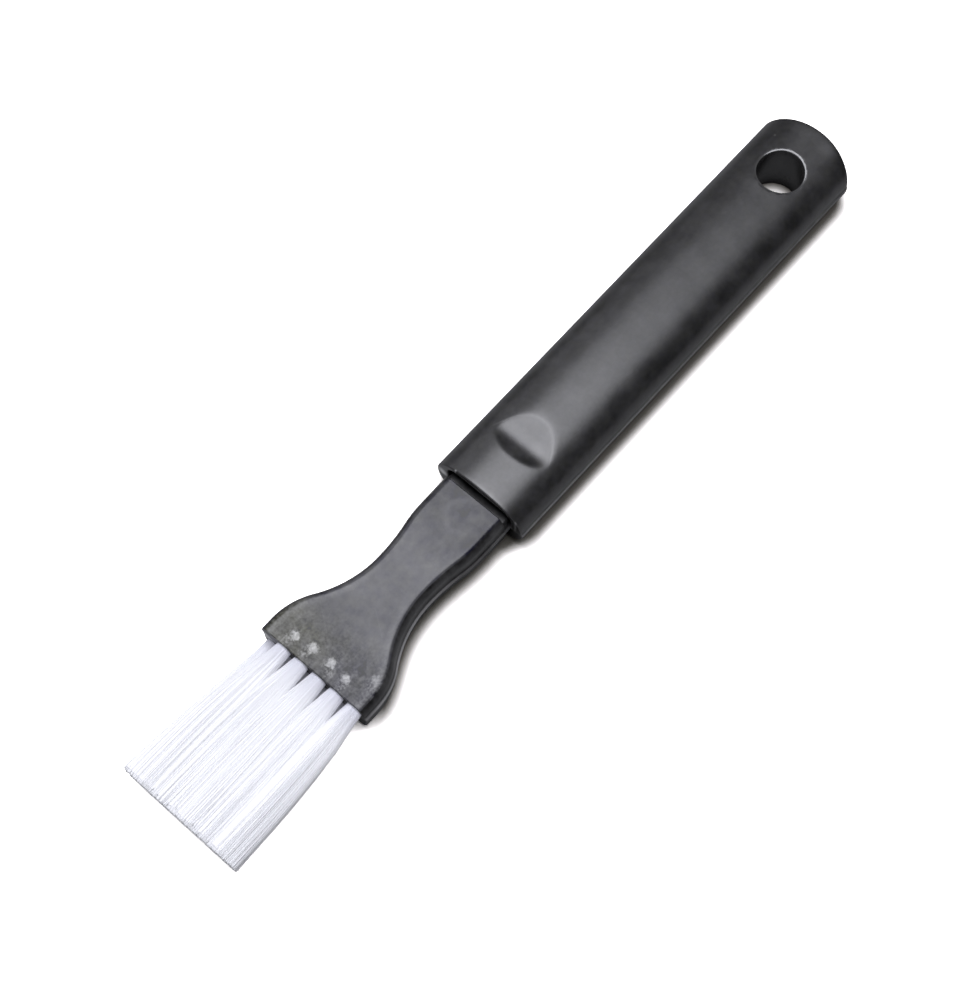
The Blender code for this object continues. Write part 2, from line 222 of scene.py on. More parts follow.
def band(tree, rows, columns, place):
    """A strip of faces whose points go where place(share along, angle round) says."""
    grid = add_node(
        tree,
        "GeometryNodeMeshGrid",
        {"Size X": 1.0, "Size Y": 1.0, "Vertices X": rows + 1, "Vertices Y": columns + 1},
    )
    flat = tree.nodes.new("GeometryNodeInputPosition").outputs[0]
    spot = add_node(tree, "ShaderNodeSeparateXYZ", {0: flat})
    along = Field(tree, spot.outputs["X"]) + 0.5
    turn = (0.5 - Field(tree, spot.outputs["Y"])) * math.tau
    x, y, z = place(along, turn)
    target = add_node(tree, "ShaderNodeCombineXYZ", {"X": x, "Y": y, "Z": z})
    moved = add_node(
        tree,
        "GeometryNodeSetPosition",
        {"Geometry": grid.outputs["Mesh"], "Position": target.outputs[0]},
    )
    return moved.outputs[0]


def welded(tree, mesh):
    """The mesh with its doubled points made one."""
    made = add_node(
        tree, "GeometryNodeMergeByDistance", {"Geometry": mesh, "Distance": WELD_REACH}
    )
    return made.outputs[0]


def closed_skin(tree, strips):
    """The strips joined into one closed skin."""
    joined = tree.nodes.new("GeometryNodeJoinGeometry")
    for strip in reversed(strips):
        plug(tree, joined.inputs[0], strip)
    return welded(tree, joined.outputs[0])


def noise(tree, place, size, detail=2.0):
    """A soft random pattern from 0 to 1, with patches of about this size."""
    settings = {"Vector": place, "Scale": 1 / size, "Detail": detail}
    return Field(tree, add_node(tree, "ShaderNodeTexNoise", settings).outputs[0])


def new_finish(name):
    """A new material with its tree, its shader, the place of a spot on the object and its X, Y, Z."""
    made = bpy.data.materials.new(name)
    made.use_nodes = True
    tree = made.node_tree
    place = tree.nodes.new("ShaderNodeTexCoord").outputs["Object"]
    spot = add_node(tree, "ShaderNodeSeparateXYZ", {0: place})
    parts = [Field(tree, spot.outputs[axis]) for axis in "XYZ"]
    return made, tree, tree.nodes["Principled BSDF"], place, parts


def colour_of(tree, channels):
    """The colour that three fields for red, green and blue make together."""
    made = add_node(tree, "ShaderNodeCombineColor", dict(zip(("Red", "Green", "Blue"), channels)))
    return made.outputs[0]


CLOUD_SIZE = 0.0045
CLOUDLET_SIZE = 0.0011
GLOSS_PATCH = 0.008
SINK_SIZE = 0.012
SINK_DEPTH = 0.00004
OLIVE_PULL = (0.3, 0.3, -0.6)
DARKEST = 0.003
GLOSSIEST = 0.12


def plastic(name, colour, specular, roughness, mottle, haze, grain_size, grain_depth, marks):
    """A moulded plastic: soft patches of more or less gloss and haze, a fine grain, and its own marks,
    among them painted highlights and painted shade.

    marks(tree, place, x, y, z) gives how much whiter, how much glossier and how much more olive a
    spot is.
    """
    made, tree, shader, place, (x, y, z) = new_finish(name)
    shader.inputs["Specular IOR Level"].default_value = specular
    whiter, glossier, olive = marks(tree, place, x, y, z)
    cloud = (noise(tree, place, CLOUD_SIZE, 3.0) - 0.5) * 2 + (noise(tree, place, CLOUDLET_SIZE) - 0.5)
    pale = whiter + cloud * haze
    channels = [(pale + olive * pull + part).most(DARKEST) for part, pull in zip(colour, OLIVE_PULL)]
    plug(tree, shader.inputs["Base Color"], colour_of(tree, channels))
    rough = (noise(tree, place, GLOSS_PATCH, 3.0) - 0.5) * mottle + roughness
    plug(tree, shader.inputs["Roughness"], (rough - glossier).most(GLOSSIEST))
    grain = noise(tree, place, grain_size) * grain_depth
    height = grain + noise(tree, place, SINK_SIZE, 1.0) * SINK_DEPTH
    bump = add_node(tree, "ShaderNodeBump", {"Strength": 1.0, "Distance": 1.0, "Height": height})
    plug(tree, shader.inputs["Normal"], bump.outputs[0])
    return made


def ramp(value, start, run):
    """0 up to the start, rising evenly to 1 over the run. A negative run goes the other way."""
    return ((value - start) / run).most(0.0).least(1.0)


def peak(value, middle, reach):
    """1 in the middle, falling evenly to 0 at this distance from it."""
    return (1 - abs(value - middle) / reach).most(0.0)


def dab(x, y, centre, radius):
    """1 in the middle of a spot seen from above, falling softly to 0 at this distance from it."""
    share = (1 - ((x - centre[0]) ** 2 + (y - centre[1]) ** 2).sqrt() / radius).most(0.0)
    return share * share * (3 - share * 2)


def notch_rim(x, y):
    """1 on the far rim of the thumb notch, where its gentle slope meets the top of the handle; a
    highlight is painted there.
    """
    half_high = handle_sizes["thickness"] / 2
    power = handle_sizes["oval power"]
    outward = (abs(y) / (handle_sizes["width"] / 2)) ** power
    skin = (1 - outward).most(0.0) ** (1 / power) * half_high
    slope = (NOTCH_VALLEY - x) * handle_sizes["notch gentle slope"]
    slope = slope + (half_high - handle_sizes["notch depth"])
    return peak(skin, slope, NOTCH_RIM_REACH) * ramp(x, NOTCH_VALLEY, -NOTCH_RIM_RUN)


def handle_marks(tree, place, x, y, z):
    """Painted highlights, mottled on the mould step, on the hole and notch rims, the end edge, the
    mouth's far corner and soft spots at both ends; the hole's rim is also glossier.
    """
    scuff_and_sheen = noise(tree, place, SCUFF_AND_SHEEN_SIZE, 3.0)
    from_hole = ((x - HOLE_CENTRE) ** 2 + y**2).sqrt()
    # Painted highlight: the mould step line is painted whiter, mottled by a noise, for the light its
    # ledge catches.
    step = peak(z, STEP_LINE, STEP_LINE_REACH) * from_hole.above(HOLE_SURROUND)
    # Painted highlight round the hanging hole's rim, which is also made glossier.
    hole_rim_polish_and_highlight = peak(from_hole, HOLE_RIM, HOLE_RIM_WIDTH) ** 0.3
    # Painted highlights: the notch's far rim, soft pale spots near the end and the mouth, and two small
    # glints at the mouth.
    soft_highlights = notch_rim(x, y) * 0.045
    for centre, radius, amount in HIGHLIGHT_SPOTS:
        soft_highlights = soft_highlights + dab(x, y, centre, radius) * amount
    # Painted highlight on the mouth's far corner.
    corner = dab(y, z, MOUTH_CORNER_HIGHLIGHT, MOUTH_CORNER_HIGHLIGHT_REACH) * ramp(x, MOUTH - 0.0003, 0.0002)
    # Painted highlight along the end's edge, mottled.
    end_highlight = ramp(x, END + END_HIGHLIGHT_REACH, -END_HIGHLIGHT_FADE) * scuff_and_sheen
    painted_highlights = soft_highlights * z.above(HANDLE_AXIS) + corner * 0.6 + end_highlight * 0.02
    whiter = step * (scuff_and_sheen * 0.08 + 0.028) + hole_rim_polish_and_highlight * 0.05 + painted_highlights
    return whiter, hole_rim_polish_and_highlight * 0.2, (scuff_and_sheen - 0.5) * 0.01


HANDLE_AXIS = handle_sizes["axis height"]
END = handle_sizes["end"]
MOUTH = END + handle_sizes["length"]
NOTCH_VALLEY = MOUTH - handle_sizes["notch from mouth"]
HOLE_CENTRE = END + handle_sizes["hole from end"]
HOLE_RIM = 0.00542
HOLE_RIM_WIDTH = 0.00026
HOLE_SURROUND = 0.006
NOTCH_RIM_REACH = 0.00013
NOTCH_RIM_RUN = 0.002
SCUFF_AND_SHEEN_SIZE = 0.0016
STEP_LINE = HANDLE_AXIS - 0.0001
STEP_LINE_REACH = 0.0006
MOUTH_CORNER_HIGHLIGHT = (-0.0099, HANDLE_AXIS + 0.0005)
MOUTH_CORNER_HIGHLIGHT_REACH = 0.0019
END_HIGHLIGHT_REACH = 0.0014
END_HIGHLIGHT_FADE = 0.0008
HIGHLIGHT_SPOTS = [
    ((-0.0974, -0.0034), 0.0030, 0.012),
    ((-0.0970, 0.0041), 0.0026, 0.016),
    ((-0.0931, -0.0068), 0.0004, 0.06),
    ((0.0112, 0.0006), 0.0017, 0.026),
    ((0.0113, 0.0026), 0.0014, 0.030),
    ((-0.0028, 0.0032), 0.0026, 0.030),
    ((0.0008, -0.0003), 0.0052, 0.014),
    ((0.0117, -0.0064), 0.0004, 0.22),
    ((0.0118, 0.0098), 0.0004, 0.12),
]
handle_finish = plastic(
    "satin_black_plastic",
    colour=(0.0110, 0.0108, 0.0112),
    specular=0.84,
    roughness=0.36,
    mottle=0.10,
    haze=0.020,
    grain_size=0.0006,
    grain_depth=0.000006,
    marks=handle_marks,
)

handle_tree, h = geometry_tree("handle_shell", handle_sizes)
bow_radius = (h["width"] * h["width"] / 4 + h["end bow"] * h["end bow"]) / (2 * h["end bow"])
belly = h["axis height"]
top = h["thickness"] / 2
half_width = h["width"] / 2


def crowded(turn):
    """Brings the points of a ring closer together at the two sides, where the mould step is."""
    return turn - (2 * turn).sin() * (HANDLE_SIDE_CROWDING / 2)


def oval(turn, inset):
    """The handle's oval section, this far inside its skin, with its flat belly and its mould step."""
    across = crowded(turn).cos()
    up = crowded(turn).sin()
    power = 2 / h["oval power"]
    z = up.sign() * abs(up) ** power * (top - inset)
    z = z.most(inset - belly)
    lower = (-z / h["mould step drop"]).most(0.0).least(1.0)
    y = across.sign() * abs(across) ** power * (half_width - inset)
    return y + lower * h["mould step"] * (0.5 + y / h["width"]), z


def bow(y):
    """How far the end wall, bowed outward, lies behind its middle at this distance from it."""
    return bow_radius - (bow_radius * bow_radius - y * y).sqrt()


def notched(x, z):
    """Lowers the top to the thumb notch: two slopes across the handle that meet in a soft valley."""
    from_valley = x - (h["end"] + h["length"] - h["notch from mouth"])
    gentle = -from_valley * h["notch gentle slope"]
    steep = from_valley * h["notch steep slope"]
    floor_line = gentle.math("SMOOTH_MAX", steep, h["notch valley"]) + (top - h["notch depth"])
    return z.math("SMOOTH_MIN", floor_line, h["notch edge"])


def end_wall(along, turn):
    y, z = oval(turn, h["end fillet"])
    y, z = y * along, z * along
    return h["end"] + bow(y), y, z + belly


def end_edge(along, turn):
    lean = along * (math.pi / 2)
    y, z = oval(turn, h["end fillet"] * (1 - lean.sin()))
    return h["end"] + bow(y) + h["end fillet"] * (1 - lean.cos()), y, z + belly


def side(start, finish):
    """The handle's sides from start to finish, where the bow of the end wall soon dies away."""

    def place(along, turn):
        y, z = oval(turn, 0.0)
        reach = start + along * (finish - start)
        x = h["end"] + reach + (bow(y) + h["end fillet"]) * (1 - reach / BOW_FADE).most(0.0)
        return x, y, notched(x, z) + belly

    return place


BOW_FADE = 0.012
NOTCH_START = 0.0905
NOTCH_FINISH = 0.1030


def mouth_edge(along, turn):
    lean = along * (math.pi / 2)
    y, z = oval(turn, h["mouth edge"] * (1 - lean.cos()))
    x = h["end"] + h["length"] - h["mouth edge"] * (1 - lean.sin())
    return x, y, z + belly


def socket(turn, spread):
    """The socket's section, a rectangle with round corners, grown by the spread."""
    y, z = oval(turn, 0.0)
    core_y = h["socket half width"] - h["socket corner"]
    core_z = h["socket half height"] - h["socket corner"]
    from_y = y.least(core_y).most(-core_y)
    from_z = z.least(core_z).most(-core_z)
    reach = (h["socket corner"] + spread) / ((y - from_y) ** 2 + (z - from_z) ** 2).sqrt()
    return from_y + (y - from_y) * reach, from_z + (z - from_z) * reach


def mouth_face(along, turn):
    y, z = oval(turn, h["mouth edge"])
    inner_y, inner_z = socket(turn, h["mouth edge"])
    x = h["end"] + h["length"] + along * 0
    return x, y + (inner_y - y) * along, z + (inner_z - z) * along + belly


def socket_edge(along, turn):
    lean = along * (math.pi / 2)
    y, z = socket(turn, h["mouth edge"] * (1 - lean.sin()))
    x = h["end"] + h["length"] - h["mouth edge"] * (1 - lean.cos())
    return x, y, z + belly


def socket_wall(along, turn):
    y, z = socket(turn, along * 0)
    x = h["end"] + h["length"] - h["mouth edge"] - (h["socket depth"] - h["mouth edge"]) * along
    return x, y, z + belly


def socket_end(along, turn):
    y, z = socket(turn, along * 0)
    return h["end"] + h["length"] - h["socket depth"], y * (1 - along), z * (1 - along) + belly


def handle_band(rows, place):
    return band(handle_tree, rows, HANDLE_ROUND, place)


handle_skin = closed_skin(
    handle_tree,
    [
        handle_band(12, end_wall),
        handle_band(6, end_edge),
        handle_band(120, side(0.0, NOTCH_START)),
        handle_band(52, side(NOTCH_START, NOTCH_FINISH)),
        handle_band(12, side(NOTCH_FINISH, h["length"] - h["mouth edge"])),
        handle_band(5, mouth_edge),
        handle_band(3, mouth_face),
        handle_band(4, socket_edge),
        handle_band(8, socket_wall),
        handle_band(2, socket_end),
    ],
)


def hole_place(radius, depth, level):
    """A band of the hanging hole's cutter. Its radius and its depth under the skin vary along it."""

    def place(along, turn):
        r = radius(along)
        x, y = r * turn.sin(), r * turn.cos()
        skin = top * (1 - (abs(y) / half_width) ** h["oval power"]) ** (1 / h["oval power"])
        if level < 0:
            skin = skin.least(belly)
        z = (skin - depth(along)) * level
        return x + (h["end"] + h["hole from end"]), y, z + belly

    return place


HOLE_ROUND = 120
HOLE_LEAN_START = 0.35
FLARE = 0.0003


def lean_angle(along):
    return HOLE_LEAN_START + along * (math.pi / 2 - HOLE_LEAN_START)


def edge_radius(along):
    return h["hole radius"] + h["hole edge"] * (1 - lean_angle(along).sin())


def edge_depth(along):
    return h["hole bevel"] + h["hole edge"] * (1 - lean_angle(along).cos())


def flare_radius(along):
    return edge_radius(along * 0) + (1 - along) * (FLARE / math.tan(HOLE_LEAN_START))


def flare_depth(along):
    return edge_depth(along * 0) - (1 - along) * FLARE


def cap_radius(along):
    return flare_radius(along * 0) * along


def cap_depth(along):
    return flare_depth(along * 0)


def backwards(place):
    return lambda along, turn: place(1 - along, turn)


def hole_wall(along, turn):
    x, y, upper = hole_place(edge_radius, edge_depth, 1)(along * 0 + 1, turn)
    x, y, lower = hole_place(edge_radius, edge_depth, -1)(along * 0 + 1, turn)
    return x, y, upper + (lower - upper) * along


hole_strips = []
for level in (1, -1):
    strips = [
        (8, hole_place(cap_radius, cap_depth, level)),
        (1, hole_place(flare_radius, flare_depth, level)),
        (7, hole_place(edge_radius, edge_depth, level)),
    ]
    for rows, place in strips:
        place = place if level > 0 else backwards(place)
        hole_strips.append(band(handle_tree, rows, HOLE_ROUND, place))
hole_strips.append(band(handle_tree, 6, HOLE_ROUND, hole_wall))
hole_cutter = closed_skin(handle_tree, hole_strips)
handle_cut = add_node(
    handle_tree,
    "GeometryNodeMeshBoolean",
    {"Mesh 1": handle_skin, "Mesh 2": hole_cutter},
    operation="DIFFERENCE",
    solver="EXACT",
)
close_tree(handle_tree, welded(handle_tree, handle_cut.outputs[0]), handle_finish)

handle_shell = grown_piece("handle_shell", handle_tree, handle_sizes)
handle_shell.data.shade_smooth()
handle_shell.data.set_sharp_from_angle(angle=MOULDING_SMOOTH)
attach(handle_shell, "root")
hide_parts("handle")


# Brush head: a flat injection moulding in a harder, glossier black plastic. Neck, waist and flared
# front are one piece with the tang, which is held in the handle. Its mould halves didn't quite match,
# driving the anchors in whitened it over the tuft holes, and an ejector pin marked the neck.
# Its colour also carries painted highlights and painted shade.

head_low, head_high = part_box("brush_head")
HEAD_FRONT = head_high.x
HEAD_AXIS = (head_low.z + head_high.z) / 2
HEAD_HALF_WIDTH = 0.01408
HEAD_HALF_THICKNESS = 0.0045
HEAD_ROUNDING = (0.0018, 0.0025)
HEAD_DRAFT = 0.0002
MOULD_STEP = (0.00048, 0.00036)
MOULD_STEP_CHANGE = (0.006, 0.030)
MOULD_STEP_DROP = 0.0002
PARTING_RISE = 0.0013
PARTING_CHANGE = (0.003, 0.012)
FRONT_LAND = 0.0028
WAIST_HALF_WIDTH = 0.0069
WAIST_FROM_FRONT = 0.0266
WAIST_ARC_SHARE = 0.61
NECK_HALF_WIDTH = 0.00825
NECK_BLEND_RUN = 0.0146
SHOULDER_BACK = 0.0483
RELIEF_BACK = 0.0507
NECK_BACK = 0.0577
STEM_BACK = 0.0907
PAD_BACK = 0.0957
TANG_PARTS = [
    (SHOULDER_BACK, RELIEF_BACK, {"inset": 0.0001, "sink": 0.0021, "rounding": (0.0010, 0.0010)}),
    (RELIEF_BACK, NECK_BACK, {}),
    (NECK_BACK, STEM_BACK, {"inset": 0.0020, "rounding": (0.0010, 0.0010), "draft": 0.0}),
    (STEM_BACK, PAD_BACK, {"inset": -0.0001, "rounding": (0.0028, 0.0028), "draft": 0.0}),
]
STATION_STEP = 0.0005
STATION_GAP = 0.00001
HEAD_EDGE_TRIM = 0.00015
HEAD_EDGE_INSET = 0.00012
EDGE_STEPS = 10
FACE_STEPS = 24
TUFT_HOLE_RADIUS = 0.0017
TUFT_HOLE_DEPTH = 0.0070
TUFT_HOLE_ROUND = 40
TUFT_PITCH = 0.0047
ROW_SHIFT = 0.0018
ROW_HEIGHT = 0.0023


def s_curve(along, run, low, rise):
    """Height of two tangent arcs that climb from low over the run, the first one hollow."""
    radii = (run**2 + rise**2) / (2 * rise)
    if along < run * WAIST_ARC_SHARE:
        radius = radii * WAIST_ARC_SHARE
        return low + radius - math.sqrt(radius**2 - along**2)
    radius = radii * (1 - WAIST_ARC_SHARE)
    return low + rise - radius + math.sqrt(radius**2 - (run - along) ** 2)


def head_half_width(back):
    """Half the head's width, this far behind its front face."""
    if back <= FRONT_LAND:
        return HEAD_HALF_WIDTH
    if back <= WAIST_FROM_FRONT:
        run = WAIST_FROM_FRONT - FRONT_LAND
        rise = HEAD_HALF_WIDTH - WAIST_HALF_WIDTH
        return s_curve(WAIST_FROM_FRONT - back, run, WAIST_HALF_WIDTH, rise)
    if back < WAIST_FROM_FRONT + NECK_BLEND_RUN:
        rise = NECK_HALF_WIDTH - WAIST_HALF_WIDTH
        return s_curve(back - WAIST_FROM_FRONT, NECK_BLEND_RUN, WAIST_HALF_WIDTH, rise)
    return NECK_HALF_WIDTH


def eased(value, start, end):
    """Rises smoothly from 0 at the start to 1 at the end."""
    share = min(max((value - start) / (end - start), 0.0), 1.0)
    return share * share * (3 - 2 * share)


def head_ring(back, inset=0.0, sink=0.0, rounding=HEAD_ROUNDING, draft=HEAD_DRAFT):
    """A section of the head: flat top and bottom, round edges, and sides that meet at the mould step."""
    wide = head_half_width(back) - inset
    high = HEAD_HALF_THICKNESS - inset - sink
    across, drop = rounding
    back_step, front_step = MOULD_STEP
    step_out = back_step + (front_step - back_step) * (1 - eased(back, *MOULD_STEP_CHANGE))
    parting = PARTING_RISE * (1 - eased(back, *PARTING_CHANGE))
    inner = wide - draft - across
    quarters = {}
    for level in (1, -1):
        low = (high - drop) * level
        points = [(wide, parting + level * MOULD_STEP_DROP / 2)]
        for step in (1, 2):
            points.append((wide - draft * step / 3, parting + (low - parting) * step / 3))
        for step in range(EDGE_STEPS + 1):
            lean = math.pi / 2 * step / EDGE_STEPS
            y = wide - draft - across * (1 - math.cos(lean))
            points.append((y, low + level * drop * math.sin(lean)))
        for step in range(1, FACE_STEPS + 1):
            points.append((inner * (1 - step / FACE_STEPS), high * level))
        quarters[level] = points
    ring = []
    for side_sign, level, backward in ((1, 1, False), (-1, 1, True), (-1, -1, False), (1, -1, True)):
        points = quarters[level][::-1] if backward else quarters[level][:-1]
        out = step_out if level < 0 else 0.0
        ring += [(HEAD_FRONT - back, out + side_sign * y, HEAD_AXIS + z) for y, z in points]
    return ring


def head_mesh():
    """The head as a skin over its sections, from the front face back to the end of the tang."""
    stations = [(0.0, HEAD_EDGE_INSET), (HEAD_EDGE_TRIM, 0.0)]
    count = round((SHOULDER_BACK - HEAD_EDGE_TRIM) / STATION_STEP)
    stations += [(SHOULDER_BACK * step / count, 0.0) for step in range(1, count)]
    stations += [(SHOULDER_BACK - HEAD_EDGE_TRIM, 0.0), (SHOULDER_BACK, HEAD_EDGE_INSET)]
    rings = [head_ring(back, inset) for back, inset in stations]
    for start, finish, section in TANG_PARTS:
        rings += [head_ring(back, **section) for back in (start + STATION_GAP, finish)]
    bm = bmesh.new()
    rows = [[bm.verts.new(point) for point in ring] for ring in rings]
    for first, second in zip(rows, rows[1:]):
        for i in range(len(first)):
            j = (i + 1) % len(first)
            bm.faces.new((first[i], first[j], second[j], second[i]))
    bm.faces.new(rows[0])
    bm.faces.new(rows[-1])
    bmesh.ops.recalc_face_normals(bm, faces=bm.faces)
    mesh = bpy.data.meshes.new("head_moulding")
    bm.to_mesh(mesh)
    bm.free()
    return mesh


def tuft_roots():
    """Each tuft's name, its row, its column and the middle of its hole in Y and Z."""
    for row, level in (("upper", 1), ("lower", -1)):
        for column in range(-2, 3):
            y = column * TUFT_PITCH + level * ROW_SHIFT
            yield f"{row}_{column + 3}", level, column, Vector((y, HEAD_AXIS + level * ROW_HEIGHT))


def bar(bm, start, end, radius, segments):
    """A round bar from start to end, as a cutter for a hole."""
    axis = end - start
    turn = axis.to_track_quat("Z", "Y").to_matrix().to_4x4()
    bmesh.ops.create_cone(
        bm,
        cap_ends=True,
        segments=segments,
        radius1=radius,
        radius2=radius,
        depth=axis.length,
        matrix=Matrix.Translation((start + end) / 2) @ turn,
    )


head_moulding = placed("head_moulding", head_mesh())
tuft_holes = bmesh.new()
for _, _, _, root in tuft_roots():
    hole_end = Vector((HEAD_FRONT - TUFT_HOLE_DEPTH, *root))
    outside = Vector((HEAD_FRONT + 0.001, *root))
    bar(tuft_holes, hole_end, outside, TUFT_HOLE_RADIUS, TUFT_HOLE_ROUND)
cutter = placed("tuft_holes", bpy.data.meshes.new("tuft_holes"))
tuft_holes.to_mesh(cutter.data)
tuft_holes.free()
drilled = head_moulding.modifiers.new("tuft_holes", "BOOLEAN")
drilled.operation = "DIFFERENCE"
drilled.solver = "EXACT"
drilled.object = cutter
graph = bpy.context.evaluated_depsgraph_get()
drilled_mesh = bpy.data.meshes.new_from_object(head_moulding.evaluated_get(graph), depsgraph=graph)
head_moulding.modifiers.clear()
head_moulding.data = drilled_mesh
bpy.data.objects.remove(cutter, do_unlink=True)
head_moulding.data.shade_smooth()
head_moulding.data.set_sharp_from_angle(angle=MOULDING_SMOOTH)
from_edge = head_moulding.data.attributes.new("from_edge", "FLOAT", "POINT")
for vertex in head_moulding.data.vertices:
    reach = head_half_width(HEAD_FRONT - vertex.co.x) - abs(vertex.co.y)
    from_edge.data[vertex.index].value = reach if vertex.co.z > HEAD_AXIS else 0.0

STRESS_MARKS = [
    ((0.0583, -0.0074), (0.0607, -0.0079), 1.0),
    ((0.0580, -0.0028), (0.0600, -0.0034), 0.95),
    ((0.0578, 0.0019), (0.0596, 0.0030), 0.90),
    ((0.0583, 0.0062), (0.0603, 0.0068), 0.90),
    ((0.0547, 0.0109), (0.0565, 0.0112), 0.40),
]
SCRATCHES = [
    ((0.0499, -0.0085), (0.0539, -0.0030)),
    ((0.0440, 0.0010), (0.0475, 0.0060)),
]
SCRATCH_WIDTH = 0.0002
MARK_BEND = 0.0020
MARK_SPOT_WIDTH = 0.0011
MARK_TRAIL_WIDTH = 0.0016
FLECK_SIZE = 0.0006
PATCH_SIZE = 0.0014
BLOTCH_SIZE = 0.0024
EDGE_HIGHLIGHT_FROM_EDGE = 0.0023
EDGE_HIGHLIGHT_REACH = 0.0013
FRONT_WEAR_AND_HIGHLIGHT_START = 0.048
FLARE_START = 0.036
WEAR_AND_SHADING_RUN = 0.008
EJECTOR_SPOT = (0.0177, 0.0011)
EJECTOR_RADIUS = 0.0037
EJECTOR_RING = 0.0009
EJECTOR_SHADE = (0.0168, 0.0004)
EJECTOR_SHADE_REACH = 0.0019
WAIST_HIGHLIGHT_MIDDLE = 0.033
WAIST_HIGHLIGHT_REACH = 0.013
NECK_SHADE_START = 0.027
SHOULDER_SHADE_REACH = 0.0045
STEP_HIGHLIGHT_ABOVE = 0.0004
STEP_HIGHLIGHT_BELOW = 0.0012
STEP_HIGHLIGHT_REACH = 0.022
FRONT_CORNER_HIGHLIGHT = (-0.0134, HEAD_AXIS)
FRONT_CORNER_HIGHLIGHT_REACH = 0.0032


def stroke(x, y, start, end, width):
    """1 along the line from start to end, falling to 0 at this distance from it."""
    run = Vector(end) - Vector(start)
    along = ((x - start[0]) * run.x + (y - start[1]) * run.y) / run.length_squared
    along = along.least(1.0).most(0.0)
    off_x = x - start[0] - along * run.x
    off_y = y - start[1] - along * run.y
    return (1 - (off_x**2 + off_y**2).sqrt() / width).most(0.0)


def head_marks(tree, place, x, y, z):
    """Whitened stress marks and fine scratches, and painted light and shade: highlights on the flare's
    edges, the waist, the mould step and the front corner, the ejector's ring, and a darker neck,
    shoulder and sides.
    """
    on_top = z.above(HEAD_AXIS + HEAD_HALF_THICKNESS - 0.0003)
    fleck = noise(tree, place, FLECK_SIZE, 4.0)
    patch = noise(tree, place, PATCH_SIZE, 3.0)
    blotch = noise(tree, place, BLOTCH_SIZE)

    bent_x = x + (noise(tree, place, 0.0009) - 0.5) * MARK_BEND
    bent_y = y + (noise(tree, place, 0.0008) - 0.5) * MARK_BEND
    speck = ((fleck - 0.5) * 6 + 0.4).most(0.0).least(1.2)
    whiter = x * 0
    for start, end, strength in STRESS_MARKS:
        beside = (start[0] + 0.0002, start[1] + 0.0003)
        spot = stroke(bent_x, bent_y, start, beside, MARK_SPOT_WIDTH)
        trail = stroke(bent_x, bent_y, start, end, MARK_TRAIL_WIDTH)
        mark = (spot * 2.4).least(1.0) ** 1.5 * 0.26 + trail * speck * 0.17
        whiter = whiter.most(mark * strength)
    for start, end in SCRATCHES:
        whiter = whiter + stroke(x, y, start, end, SCRATCH_WIDTH) * 0.014

    edge = add_node(tree, "ShaderNodeAttribute", attribute_name="from_edge").outputs["Fac"]
    # Painted highlight along the flare's top edges.
    edge_highlight = peak(Field(tree, edge), EDGE_HIGHLIGHT_FROM_EDGE, EDGE_HIGHLIGHT_REACH) * ramp(x, FLARE_START, WEAR_AND_SHADING_RUN)
    front = ramp(x, FRONT_WEAR_AND_HIGHLIGHT_START, WEAR_AND_SHADING_RUN)
    whiter = whiter + edge_highlight * (fleck * 0.07 + 0.012)
    whiter = whiter + front * ((fleck - 0.5) * 0.16 + (patch - 0.5) * 0.17 + 0.006)

    # Painted light and shade for the ejector mark: a lighter ring on its lit side and a darker hollow.
    from_pin = ((x - EJECTOR_SPOT[0]) ** 2 + (y - EJECTOR_SPOT[1]) ** 2).sqrt()
    ring_lit_side = ((y - EJECTOR_SPOT[1]) * -120 + (blotch - 0.5) * 2 + 0.6).most(0.0).least(1.0)
    ring = peak(from_pin, EJECTOR_RADIUS, EJECTOR_RING) * ring_lit_side
    pin_shade = dab(bent_x, bent_y, EJECTOR_SHADE, EJECTOR_SHADE_REACH)
    whiter = whiter + ring * 0.022 - pin_shade * 0.030

    # Painted highlight on the waist; painted shade on the neck and near the handle's mouth.
    waist_highlight = peak(x, WAIST_HIGHLIGHT_MIDDLE, WAIST_HIGHLIGHT_REACH)
    neck_shade = ramp(x, NECK_SHADE_START, -WEAR_AND_SHADING_RUN)
    shoulder_shade = ramp(x, MOUTH + SHOULDER_SHADE_REACH, -SHOULDER_SHADE_REACH)
    whiter = whiter + waist_highlight * 0.034 - neck_shade * 0.011 - shoulder_shade * 0.018 + (blotch - 0.5) * 0.05

    # Painted highlight along the head's mould step, strongest at the flare.
    level_end, rise_start = PARTING_CHANGE
    forward = ramp(x, HEAD_FRONT - rise_start, rise_start - level_end)
    over = z - (forward * forward * (3 - forward * 2) * PARTING_RISE + HEAD_AXIS)
    step = 1 - over.most(0.0) / STEP_HIGHLIGHT_ABOVE + over.least(0.0) / STEP_HIGHLIGHT_BELOW
    step = step.most(0.0) * (peak(x, FRONT_WEAR_AND_HIGHLIGHT_START, STEP_HIGHLIGHT_REACH) * 0.26 + 0.03)
    # Painted highlight on the front face's far corner.
    corner = dab(y, z, FRONT_CORNER_HIGHLIGHT, FRONT_CORNER_HIGHLIGHT_REACH) * ramp(x, HEAD_FRONT - 0.0002, 0.0001)
    # Painted shade: every face but the top is a little darker.
    whiter = whiter * on_top + (on_top - 1) * 0.012 + step + corner * 0.6
    olive = (front * ramp(y, 0.006, -0.012) - 0.3) * 0.02 + (blotch - 0.5) * 0.03
    return whiter, front * -0.09, olive * on_top


head_finish = plastic(
    "gloss_black_plastic",
    colour=(0.0330, 0.0328, 0.0330),
    specular=0.39,
    roughness=0.31,
    mottle=0.10,
    haze=0.045,
    grain_size=0.0015,
    grain_depth=0.000008,
    marks=head_marks,
)
head_moulding.data.materials.clear()
head_moulding.data.materials.append(head_finish)
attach(head_moulding, "root")
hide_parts("brush_head")


